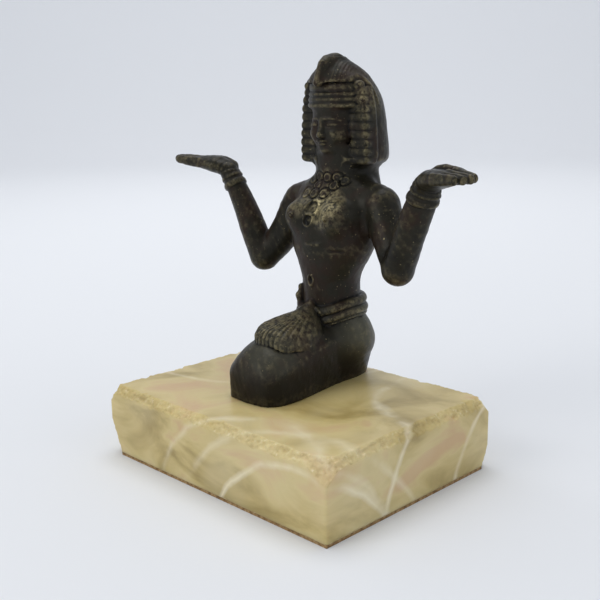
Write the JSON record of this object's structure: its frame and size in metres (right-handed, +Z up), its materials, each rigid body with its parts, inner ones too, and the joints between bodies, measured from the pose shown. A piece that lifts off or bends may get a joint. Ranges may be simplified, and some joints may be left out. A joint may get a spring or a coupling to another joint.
{
  "type": "kneeling queen figurine",
  "caption": "Kneeling Egyptian-style queen with open raised hands, cast in dark bronze on a rectangular alabaster slab.",
  "frame": {"origin": "centre of the underside, under the middle of the plinth", "axes": "+Z up, the figure faces -Y, and +X is to the figure's left"},
  "size_m": [0.1103, 0.068, 0.11],
  "materials": {
    "bronze": "dark brown patinated cast bronze, rubbed to olive gold on the high points",
    "alabaster": "honed and waxed cream alabaster with white arched veins and chipped top edges",
    "cork": "thin matt brown cork sheet"
  },
  "bodies": {
    "root": {"figure": "bronze", "plinth": "alabaster", "backing": "cork"}
  },
  "joints": []
}
